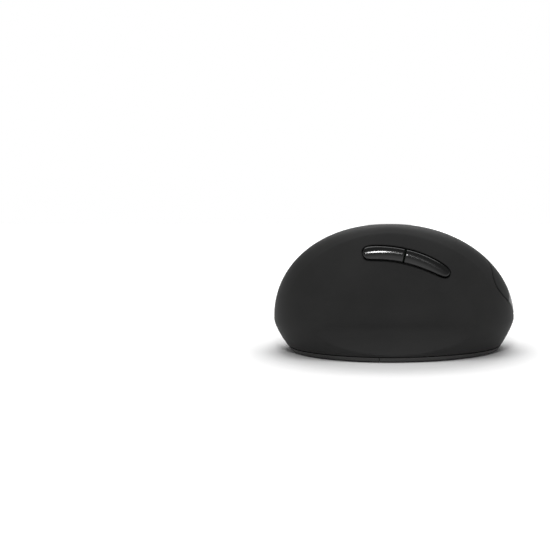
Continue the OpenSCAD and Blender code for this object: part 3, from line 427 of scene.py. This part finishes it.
def outside_slot(p):
    """Distance outside the opening, in side view."""
    h, flattest = 0.02, 0.05
    q = slot_value(p)
    gx = (slot_value(p + [h, 0, 0]) - slot_value(p - [h, 0, 0])) / (2 * h)
    gz = (slot_value(p + [0, 0, h]) - slot_value(p - [0, 0, h])) / (2 * h)
    far = (p[:, 1] > slot_side_y) | (q > slot_reach)
    return np.where(far, far_off, np.maximum(slot_floor, (q - 1) / np.maximum(np.hypot(gx, gz), flattest)))


def soft_touch(name, tone):
    """Soft-touch coated plastic: a fine leathery grain, a dull sheen and faint cloudy wear."""
    material = bpy.data.materials.new(name)
    material.use_nodes = True
    nodes, links = material.node_tree.nodes, material.node_tree.links
    shader = nodes["Principled BSDF"]
    place = nodes.new("ShaderNodeTexCoord")
    cloud = nodes.new("ShaderNodeTexNoise")
    cloud.inputs["Scale"].default_value = 45
    cloud.inputs["Detail"].default_value = 4
    tint = nodes.new("ShaderNodeValToRGB")
    tint.color_ramp.elements[0].position = 0.3
    tint.color_ramp.elements[0].color = (tone * 0.9, tone * 0.9, tone * 0.9, 1)
    tint.color_ramp.elements[1].position = 0.7
    tint.color_ramp.elements[1].color = (tone * 1.1, tone * 1.1, tone * 1.09, 1)
    worn = nodes.new("ShaderNodeMapRange")
    worn.inputs["To Min"].default_value = 0.5
    worn.inputs["To Max"].default_value = 0.6
    grain = nodes.new("ShaderNodeTexNoise")
    grain.inputs["Scale"].default_value = 2600
    grain.inputs["Detail"].default_value = 2
    relief = nodes.new("ShaderNodeBump")
    relief.inputs["Strength"].default_value = 0.12
    relief.inputs["Distance"].default_value = 0.0001
    for texture in (cloud, grain):
        links.new(place.outputs["Object"], texture.inputs["Vector"])
    links.new(cloud.outputs["Fac"], tint.inputs["Fac"])
    links.new(tint.outputs["Color"], shader.inputs["Base Color"])
    links.new(cloud.outputs["Fac"], worn.inputs["Value"])
    links.new(worn.outputs["Result"], shader.inputs["Roughness"])
    links.new(grain.outputs["Fac"], relief.inputs["Height"])
    links.new(relief.outputs["Normal"], shader.inputs["Normal"])
    shader.inputs["Specular IOR Level"].default_value = 0.08
    return material


charcoal = soft_touch("charcoal_soft_touch", 0.0295)


def body_part(name, field):
    """A part of the body's skin with its wall, rounded lip and soft-touch coat."""
    points, normals, tris, edge = trim_to(field, lip_steps, body_points, body_normals, body_tris)
    piece = moulding(name, points - lip_drop(edge, lip)[:, None] * normals, points - wall * normals, tris)
    piece.data.materials.append(charcoal)
    return piece


def shell_field(p):
    return np.minimum(np.minimum(-finger_side(p), outside_slot(p)), p[:, 2] - seam_z)


shell = body_part("shell", shell_field)
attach(shell, "chassis")
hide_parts("main_shell")

# Palm panel: the finger side's rear cover, moulded and coated like the shell and clipped into it
# behind the keys. Its front edge stands square to the slope that the keys and the wheel share,
# where t runs to the nose, w down the slope and n out of it.
key_gap, case_gap = 0.55, 0.25
face_yaw, face_tilt = math.radians(9), math.radians(36)
wheel_x, wheel_z = 19.0, 38.0
rear_t = -29.0
nose, tail, finger, thumb, mid = (float(v) for v in slice_at(np.array(wheel_z)))
wheel_y = mid + (finger - mid) * float(oval(np.array((wheel_x - spine_x) / (nose - spine_x)), plan_nose_n))
face_p = np.array([wheel_x, wheel_y, wheel_z])
face_t = np.array([math.cos(face_yaw), -math.sin(face_yaw), 0])
face_n = np.array([math.sin(face_yaw) * math.cos(face_tilt), math.cos(face_yaw) * math.cos(face_tilt),
                   math.sin(face_tilt)])
face_w = np.cross(face_n, face_t)


def palm_field(p):
    return np.minimum(finger_side(p) - case_gap, rear_t - key_gap - (p - face_p) @ face_t)


palm = body_part("palm", palm_field)
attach(palm, "chassis")
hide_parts("palm_panel")

# Index key: the upper of the two long keys, moulded and coated like the shell. It is hinged at its
# rear, wraps round the nose, and shows its edge there from the thumb side.
strip_w = 11.0


def index_field(p):
    d = p - face_p
    key_area = np.minimum(finger_side(p) - key_gap, d @ face_t - rear_t)
    return np.minimum(key_area, -strip_w / 2 - key_gap - d @ face_w)


index = body_part("index", index_field)
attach(index, "index_key")
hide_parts("index_key")


# Middle key: the lower of the two long keys, moulded and coated like the shell. It is hinged at its
# rear on the same line as the index key.
def middle_field(p):
    d = p - face_p
    key_area = np.minimum(finger_side(p) - key_gap, d @ face_t - rear_t)
    return np.minimum(key_area, d @ face_w - strip_w / 2 - key_gap)


middle = body_part("middle", middle_field)
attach(middle, "middle_key")
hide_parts("middle_key")

# Thumb buttons: two hard caps moulded in gloss black, in one opening, each crowned along its length
# with a small radius at its edge. A matt flange behind the wall keeps each one in, and it is
# pressed straight in against its own switch.
button_gap, button_proud, button_fillet, crown_fall = 0.65, 1.1, 0.5, 0.8
button_steps = (0, 0.06, 0.16, 0.32, 0.5)
flange_out, flange_top, flange_foot, flange_lap = 1.0, 2.25, 3.7, 0.3


def moulded_plastic(name, tone, gloss, grain_scale, grain_strength):
    """Bare moulded plastic: an even colour with a faint mottle, and the tool's own spark texture."""
    material = bpy.data.materials.new(name)
    material.use_nodes = True
    nodes, links = material.node_tree.nodes, material.node_tree.links
    shader = nodes["Principled BSDF"]
    place = nodes.new("ShaderNodeTexCoord")
    mottle = nodes.new("ShaderNodeTexNoise")
    mottle.inputs["Scale"].default_value = 120
    mottle.inputs["Detail"].default_value = 3
    tint = nodes.new("ShaderNodeValToRGB")
    tint.color_ramp.elements[0].position = 0.3
    tint.color_ramp.elements[0].color = tuple(0.88 * c for c in tone) + (1,)
    tint.color_ramp.elements[1].position = 0.7
    tint.color_ramp.elements[1].color = tuple(1.1 * c for c in tone) + (1,)
    rub = nodes.new("ShaderNodeMapRange")
    rub.inputs["To Min"].default_value = gloss[0]
    rub.inputs["To Max"].default_value = gloss[1]
    grain = nodes.new("ShaderNodeTexNoise")
    grain.inputs["Scale"].default_value = grain_scale
    relief = nodes.new("ShaderNodeBump")
    relief.inputs["Strength"].default_value = grain_strength
    relief.inputs["Distance"].default_value = 0.0001
    for texture in (mottle, grain):
        links.new(place.outputs["Object"], texture.inputs["Vector"])
    links.new(mottle.outputs["Fac"], tint.inputs["Fac"])
    links.new(tint.outputs["Color"], shader.inputs["Base Color"])
    links.new(mottle.outputs["Fac"], rub.inputs["Value"])
    links.new(rub.outputs["Result"], shader.inputs["Roughness"])
    links.new(grain.outputs["Fac"], relief.inputs["Height"])
    links.new(relief.outputs["Normal"], shader.inputs["Normal"])
    return material


polished = moulded_plastic("polished_black", (0.006, 0.006, 0.006), (0.11, 0.15), 900, 0.01)
button_back = moulded_plastic("button_back", (0.008, 0.008, 0.008), (0.6, 0.7), 1500, 0.1)


def thumb_wall(x, z):
    """The thumb side's skin as a height, with its outward normal."""
    def at(x, z):
        nose, tail, finger, thumb, mid = slice_at(z)
        ratio = np.where(x > spine_x, (x - spine_x) / (nose - spine_x), (spine_x - x) / (spine_x - tail))
        return mid - (mid - thumb) * oval(np.minimum(1, ratio), plan_thumb_n) + hollow(x, z)

    h = 0.02
    slope_x = (at(x + h, z) - at(x - h, z)) / (2 * h)
    slope_z = (at(x, z + h) - at(x, z - h)) / (2 * h)
    n = np.stack([slope_x, -np.ones_like(x), slope_z], -1)
    return np.stack([x, at(x, z), z], -1), n / np.linalg.norm(n, axis=-1, keepdims=True)


def sheet_tris(rows, columns):
    """Triangles of a sheet of points that lie in rows."""
    a = (np.arange(rows - 1)[:, None] * columns + np.arange(columns - 1)).ravel()
    b = a + columns
    return np.vstack([np.stack([a, b + 1, a + 1], 1), np.stack([a, b, b + 1], 1)])


half_span, end_span = 4.8, 1.5
arc_rows, span_columns = 158, 37
across, along = np.meshgrid(np.linspace(-half_span, half_span, span_columns),
                            np.linspace(arc_from - end_span, arc_to + end_span, arc_rows))
out_by, bearing = arc_r + across.ravel(), np.radians(along.ravel())
slot_points, slot_normals = thumb_wall(arc_x + out_by * np.sin(bearing),
                                       arc_z - arc_r + out_by * np.cos(bearing))
slot_tris = sheet_tris(arc_rows, span_columns)


def thumb_button(name, body, side):
    """A cap and its flange, before (1) or behind (-1) the split in the opening."""
    def own_half(p):
        bearing = np.degrees(np.arctan2(p[:, 0] - arc_x, p[:, 2] - (arc_z - arc_r)))
        return side * np.radians(bearing - arc_split) * arc_r - button_gap / 2

    def cap_field(p):
        return np.minimum(-outside_slot(p) - button_gap, own_half(p))

    def flange_field(p):
        return np.minimum(flange_out - outside_slot(p), own_half(p))

    points, normals, tris, edge = trim_to(cap_field, button_steps, slot_points, slot_normals, slot_tris)
    x, z = points[:, 0] - arc_x, points[:, 2] - (arc_z - arc_r)
    v = (np.hypot(x, z) - arc_r) / (pair_w / 2)
    rise = button_proud - crown_fall * v ** 2 - lip_drop(edge, button_fillet)
    back = flange_top + flange_lap
    cap = moulding(name, points + rise[:, None] * normals, points - back * normals, tris)
    cap.data.materials.append(polished)
    points, normals, tris, edge = trim_to(flange_field, (0,), slot_points, slot_normals, slot_tris)
    flange = moulding(name + "_flange", points - flange_top * normals, points - flange_foot * normals, tris)
    flange.data.materials.append(button_back)
    cap.select_set(True)
    bpy.context.view_layer.objects.active = cap
    bpy.ops.object.join()
    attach(cap, body)
    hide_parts(body)


thumb_button("back_cap", "back_button", -1)
thumb_button("forward_cap", "forward_button", 1)

# Wheel strip: the band between the two keys, moulded in satin black, a shade glossier than they are,
# and clipped to the frame behind it. It has a window for the wheel, a slot for the speed button and
# a pinhole for the indicator.
wheel_r, wheel_proud, tyre_w = 12.0, 3.3, 6.5
window_level, window_room, window_side, window_round = 2.5, 0.8, 0.65, 1
window_half = math.sqrt(wheel_r ** 2 - (wheel_proud - wheel_r + window_level) ** 2) + window_room
dpi_t, dpi_half, dpi_r = -17.0, 1.5, 2.0
lens_t, pinhole_r = -23.8, 1.35
strip_spread, strip_lip = 0.25, 0.3
strip_steps = (0, 0.06, 0.15, 0.3)
strip_turn, strip_rise = (math.radians(-30), math.radians(130)), (15.5, 46)
rise_rows, turn_columns = 150, 420


def strip_field(p):
    d = p - face_p
    t, w = d @ face_t, d @ face_w
    key_area = np.minimum(finger_side(p) - key_gap, t - rear_t)
    band = np.minimum(key_area, strip_w / 2 + strip_spread - np.abs(w))
    dx = np.abs(t) - (window_half - window_round)
    dy = np.abs(w) - (tyre_w / 2 + window_side - window_round)
    beside = np.hypot(np.maximum(dx, 0), np.maximum(dy, 0))
    window = beside + np.minimum(np.maximum(dx, dy), 0) - window_round
    slot = np.hypot(np.maximum(np.abs(t - dpi_t) - dpi_half, 0), w) - dpi_r
    pinhole = np.hypot(t - lens_t, w) - pinhole_r
    return np.minimum(np.minimum(band, window), np.minimum(slot, pinhole))


fine_a, fine_z = np.meshgrid(np.linspace(*strip_turn, turn_columns), np.linspace(*strip_rise, rise_rows))
strip_points = skin(fine_a, fine_z).reshape(-1, 3)
strip_normals = skin_normal(fine_a, fine_z).reshape(-1, 3)
strip_tris = sheet_tris(rise_rows, turn_columns)[:, [0, 2, 1]]
points, normals, tris, edge = trim_to(strip_field, strip_steps, strip_points, strip_normals, strip_tris)
drop = lip_drop(edge, strip_lip)
strip = moulding("strip", points - drop[:, None] * normals, points - wall * normals, tris)
strip.data.materials.append(moulded_plastic("strip_satin", (0.01, 0.01, 0.01), (0.28, 0.36), 1500, 0.04))
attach(strip, "chassis")
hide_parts("wheel_trim")

# Scroll wheel's tyre: a soft rubber ring pressed on the hub, ribbed across its tread for grip.
# The tread band is drawn first, its sides are turned in to the hub, then every rib is parted off.
tread_half, shoulder_r, tyre_in = 2.35, 11.1, 10.0
ribs, faces_per_rib, groove_faces, groove_depth, tread_ease = 30, 6, 2, 0.4, 0.1
bpy.ops.object.select_all(action="DESELECT")
bpy.ops.mesh.primitive_cylinder_add(vertices=ribs * faces_per_rib, radius=wheel_r / 1000,
                                    depth=2 * tread_half / 1000, end_fill_type="NOTHING")
tyre = bpy.context.object
tyre.name = "tyre"
bpy.ops.object.mode_set(mode="EDIT")
bpy.ops.mesh.select_mode(type="EDGE")
for side in (-1, 1):
    mesh = bmesh.from_edit_mesh(tyre.data)
    for edge in mesh.edges:
        place = edge.verts[0].co
        edge.select_set(edge.is_boundary and side * place.z > 0 and place.xy.length > shoulder_r / 1000)
    bmesh.update_edit_mesh(tyre.data)
    shoulder = side * (tyre_w / 2 - tread_half) / 1000
    bpy.ops.mesh.extrude_edges_move(TRANSFORM_OT_translate={"value": (0, 0, shoulder)})
    turn_in = shoulder_r / wheel_r
    bpy.ops.transform.resize(value=(turn_in, turn_in, 1), center_override=(0, 0, 0))
    bpy.ops.mesh.extrude_edges_move()
    turn_in = tyre_in / shoulder_r
    bpy.ops.transform.resize(value=(turn_in, turn_in, 1), center_override=(0, 0, 0))
bpy.ops.mesh.select_all(action="DESELECT")
bpy.ops.mesh.select_non_manifold()
bpy.ops.mesh.bridge_edge_loops()
bpy.ops.mesh.select_all(action="SELECT")
bpy.ops.mesh.normals_make_consistent(inside=False)
bpy.ops.mesh.select_mode(type="FACE")
bpy.ops.mesh.select_all(action="DESELECT")
mesh = bmesh.from_edit_mesh(tyre.data)
for face in mesh.faces:
    middle_of_face = face.calc_center_median()
    bearing = math.degrees(math.atan2(middle_of_face.y, middle_of_face.x)) % 360
    step = bearing * ribs * faces_per_rib / 360
    face.select_set(int(step) % faces_per_rib < groove_faces and middle_of_face.xy.length > shoulder_r / 1000)
bmesh.update_edit_mesh(tyre.data)
bpy.ops.mesh.extrude_region_shrink_fatten(TRANSFORM_OT_shrink_fatten={"value": -groove_depth / 1000})
bpy.ops.object.mode_set(mode="OBJECT")
eased = tyre.modifiers.new("eased", "BEVEL")
eased.width = tread_ease / 1000
eased.segments = 2
eased.angle_limit = math.radians(30)
bpy.ops.object.modifier_apply(modifier="eased")
bpy.ops.object.shade_smooth_by_angle(angle=math.radians(35))


def place_on_face(piece, origin, x_way, z_way):
    """Moves a mesh from its drawing frame into its place on the finger face."""
    ways = np.stack([x_way, np.cross(z_way, x_way), z_way], 1)
    piece.matrix_world = Matrix([[*row, at / 1000] for row, at in zip(ways, origin)] + [[0, 0, 0, 1]])
    bpy.ops.object.transform_apply(location=True, rotation=True, scale=True)


place_on_face(tyre, face_p + (wheel_proud - wheel_r) * face_n, face_t, face_w)
tyre.data.materials.append(moulded_plastic("tyre_rubber", (0.016, 0.016, 0.016), (0.55, 0.68), 1400, 0.12))
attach(tyre, "wheel")
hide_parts("wheel_tyre")

# Speed button: a small pill moulded in gloss black, with a dished top and a soft rim. It stands a
# little above the strip, in its slot behind the wheel, and is pressed onto its switch.
pill_l, pill_w, pill_rise, pill_depth, rim_rise = 6.5, 3.5, 0.6, 2.6, 0.12
rim_and_dish = ((0.12, 0.07), (0.2, 0.05), (0.25, 0), (0.3, -0.06), (0.4, -0.07))


def face_height(t):
    """Height of the skin over the finger face's plane, along its middle line."""
    n, passes = 0.0, 40
    for _ in range(passes):
        x, y, z = face_p + t * face_t + n * face_n
        nose, tail, finger, thumb, mid = (float(v) for v in slice_at(np.array(z)))
        ratio = (x - spine_x) / (nose - spine_x) if x > spine_x else (spine_x - x) / (spine_x - tail)
        plan_n = plan_nose_n if x > spine_x else plan_tail_n
        n += 0.5 * (mid + (finger - mid) * float(oval(np.array(ratio), plan_n)) - y)
    return n


bpy.ops.object.select_all(action="DESELECT")
bpy.ops.mesh.primitive_cylinder_add(vertices=64, radius=pill_w / 2000, depth=pill_depth / 1000,
                                    location=(0, 0, (pill_rise - rim_rise - pill_depth / 2) / 1000))
pill = bpy.context.object
pill.name = "speed_button"
bpy.ops.object.transform_apply(location=True, rotation=True, scale=True)
bpy.ops.object.mode_set(mode="EDIT")
for side in (-1, 1):
    mesh = bmesh.from_edit_mesh(pill.data)
    for vert in mesh.verts:
        vert.select_set(side * vert.co.x > 1e-6)
    mesh.select_flush(True)
    bmesh.update_edit_mesh(pill.data)
    bpy.ops.transform.translate(value=(side * (pill_l - pill_w) / 2000, 0, 0))
bpy.ops.mesh.select_mode(type="FACE")
bpy.ops.mesh.select_all(action="DESELECT")
mesh = bmesh.from_edit_mesh(pill.data)
for face in mesh.faces:
    face.select_set(face.normal.z > 0.9)
bmesh.update_edit_mesh(pill.data)
for inset, lift in rim_and_dish:
    bpy.ops.mesh.inset(thickness=inset / 1000)
    bpy.ops.transform.translate(value=(0, 0, lift / 1000))
bpy.ops.object.mode_set(mode="OBJECT")
bpy.ops.object.shade_smooth_by_angle(angle=math.radians(50))
place_on_face(pill, face_p + dpi_t * face_t + face_height(dpi_t) * face_n, face_t, face_n)
pill.data.materials.append(polished)
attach(pill, "dpi_button")
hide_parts("dpi_button")


# Base plate, battery door and inner frames: moulded in black with a fine sparked texture. The base
# is screwed up into the shell, the door slides off to the rear, and the frames carry keys and wheel.
def finish(material, *names):
    """Gives CAD pieces their material."""
    for name in names:
        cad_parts[name].data.materials.clear()
        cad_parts[name].data.materials.append(material)


finish(moulded_plastic("base_black", (0.033, 0.033, 0.033), (0.42, 0.52), 1800, 0.1),
       "base_plate", "battery_door", "key_frame", "wheel_bracket")

# Glide feet: low-friction pads, stamped from a sheet of slippery plastic and stuck in recesses of
# the base and the door.
finish(moulded_plastic("glide_pad", (0.035, 0.035, 0.036), (0.34, 0.42), 700, 0.03),
       "glide_feet", "door_foot")


# Screws, power switch's can, springs and battery contacts: plated steel. The screws are rolled, the
# springs wound from wire, and the can and contacts stamped and bent.
def plated_steel(name, tone, polish):
    """Plated steel with fine drawn scratches."""
    material = bpy.data.materials.new(name)
    material.use_nodes = True
    nodes, links = material.node_tree.nodes, material.node_tree.links
    shader = nodes["Principled BSDF"]
    shader.inputs["Metallic"].default_value = 1
    place = nodes.new("ShaderNodeTexCoord")
    drawn = nodes.new("ShaderNodeMapping")
    drawn.inputs["Scale"].default_value = (1, 1, 9)
    scratch = nodes.new("ShaderNodeTexNoise")
    scratch.inputs["Scale"].default_value = 900
    scratch.inputs["Detail"].default_value = 3
    tint = nodes.new("ShaderNodeValToRGB")
    tint.color_ramp.elements[0].color = tuple(0.85 * c for c in tone) + (1,)
    tint.color_ramp.elements[1].color = tone + (1,)
    rub = nodes.new("ShaderNodeMapRange")
    rub.inputs["To Min"].default_value = polish[0]
    rub.inputs["To Max"].default_value = polish[1]
    links.new(place.outputs["Object"], drawn.inputs["Vector"])
    links.new(drawn.outputs["Vector"], scratch.inputs["Vector"])
    links.new(scratch.outputs["Fac"], tint.inputs["Fac"])
    links.new(tint.outputs["Color"], shader.inputs["Base Color"])
    links.new(scratch.outputs["Fac"], rub.inputs["Value"])
    links.new(rub.outputs["Result"], shader.inputs["Roughness"])
    return material


finish(plated_steel("zinc_plate", (0.55, 0.55, 0.56), (0.28, 0.42)), "case_screws", "side_board_screws",
       "key_board_screws", "key_frame_screws", "main_board_screws", "power_switch_body")
finish(plated_steel("nickel_plate", (0.65, 0.65, 0.63), (0.2, 0.32)), "battery_springs", "battery_contacts")


# Clear pieces: the sensor's lens over its window and the indicator's light guide, both moulded in
# clear acrylic and pressed into their seats.
def clear_acrylic(name, tone):
    """Clear acrylic with a faint haze."""
    material = bpy.data.materials.new(name)
    material.use_nodes = True
    nodes, links = material.node_tree.nodes, material.node_tree.links
    shader = nodes["Principled BSDF"]
    shader.inputs["Base Color"].default_value = tone + (1,)
    shader.inputs["Transmission Weight"].default_value = 0.9
    shader.inputs["IOR"].default_value = 1.49
    place = nodes.new("ShaderNodeTexCoord")
    haze = nodes.new("ShaderNodeTexNoise")
    haze.inputs["Scale"].default_value = 300
    rub = nodes.new("ShaderNodeMapRange")
    rub.inputs["To Min"].default_value = 0.04
    rub.inputs["To Max"].default_value = 0.14
    links.new(place.outputs["Object"], haze.inputs["Vector"])
    links.new(haze.outputs["Fac"], rub.inputs["Value"])
    links.new(rub.outputs["Result"], shader.inputs["Roughness"])
    return material


finish(clear_acrylic("clear_acrylic", (0.8, 0.85, 0.88)), "indicator_lens", "sensor_lens")


# Circuit boards: glass-fibre sheet under a green solder mask, with copper tracks showing through
# it. Each is screwed to its bosses.
def solder_mask(name, mask, track):
    """Solder mask over a maze of tracks."""
    material = bpy.data.materials.new(name)
    material.use_nodes = True
    nodes, links = material.node_tree.nodes, material.node_tree.links
    shader = nodes["Principled BSDF"]
    place = nodes.new("ShaderNodeTexCoord")
    cells = nodes.new("ShaderNodeTexVoronoi")
    cells.distance = "MANHATTAN"
    cells.feature = "F2"
    cells.inputs["Scale"].default_value = 260
    tint = nodes.new("ShaderNodeValToRGB")
    tint.color_ramp.interpolation = "EASE"
    tint.color_ramp.elements[0].position = 0.55
    tint.color_ramp.elements[0].color = mask + (1,)
    tint.color_ramp.elements[1].position = 0.75
    tint.color_ramp.elements[1].color = track + (1,)
    links.new(place.outputs["Object"], cells.inputs["Vector"])
    links.new(cells.outputs["Distance"], tint.inputs["Fac"])
    links.new(tint.outputs["Color"], shader.inputs["Base Color"])
    shader.inputs["Roughness"].default_value = 0.38
    return material


finish(solder_mask("solder_mask", (0.015, 0.09, 0.04), (0.04, 0.17, 0.07)),
       "side_board", "key_board", "main_board")

# Wheel hub and carrier: the hub is moulded in dark satin plastic and turns in the carrier, which is
# moulded in natural nylon and tips when the wheel is pressed.
finish(moulded_plastic("hub_satin", (0.05, 0.05, 0.055), (0.3, 0.4), 1500, 0.05), "wheel_hub")
finish(moulded_plastic("natural_nylon", (0.75, 0.74, 0.7), (0.4, 0.5), 1200, 0.05), "wheel_carrier")

# Switches, chips and encoder: plain black housings, a shade glossier than the base, moulded round
# their leads and soldered to the boards.
finish(moulded_plastic("switch_black", (0.02, 0.02, 0.02), (0.36, 0.46), 1400, 0.06),
       "wheel_switch", "dpi_switch", "side_switches", "key_switches", "board_chips", "sensor_chip",
       "wheel_encoder")

# Stems, plungers and power slider: small red mouldings, each in its own switch. The slider is
# reached through the base.
finish(moulded_plastic("stem_red", (0.4, 0.06, 0.05), (0.34, 0.44), 1200, 0.05),
       "wheel_switch_stem", "dpi_switch_stem", "back_switch_stem", "forward_switch_stem",
       "index_plunger", "middle_plunger", "power_slider")

# Battery cells: two steel cans in a plain grey film wrap. They lie in the base between the springs
# and the contacts.
finish(moulded_plastic("cell_wrap", (0.3, 0.31, 0.33), (0.22, 0.32), 600, 0.02), "battery_cells")

# Ribbons: flat flexible film with its conductors inside, pale and slightly glossy. They join the key
# board and the side board to the main board.
finish(moulded_plastic("ribbon_film", (0.7, 0.7, 0.66), (0.3, 0.4), 800, 0.03), "key_ribbon", "side_ribbon")
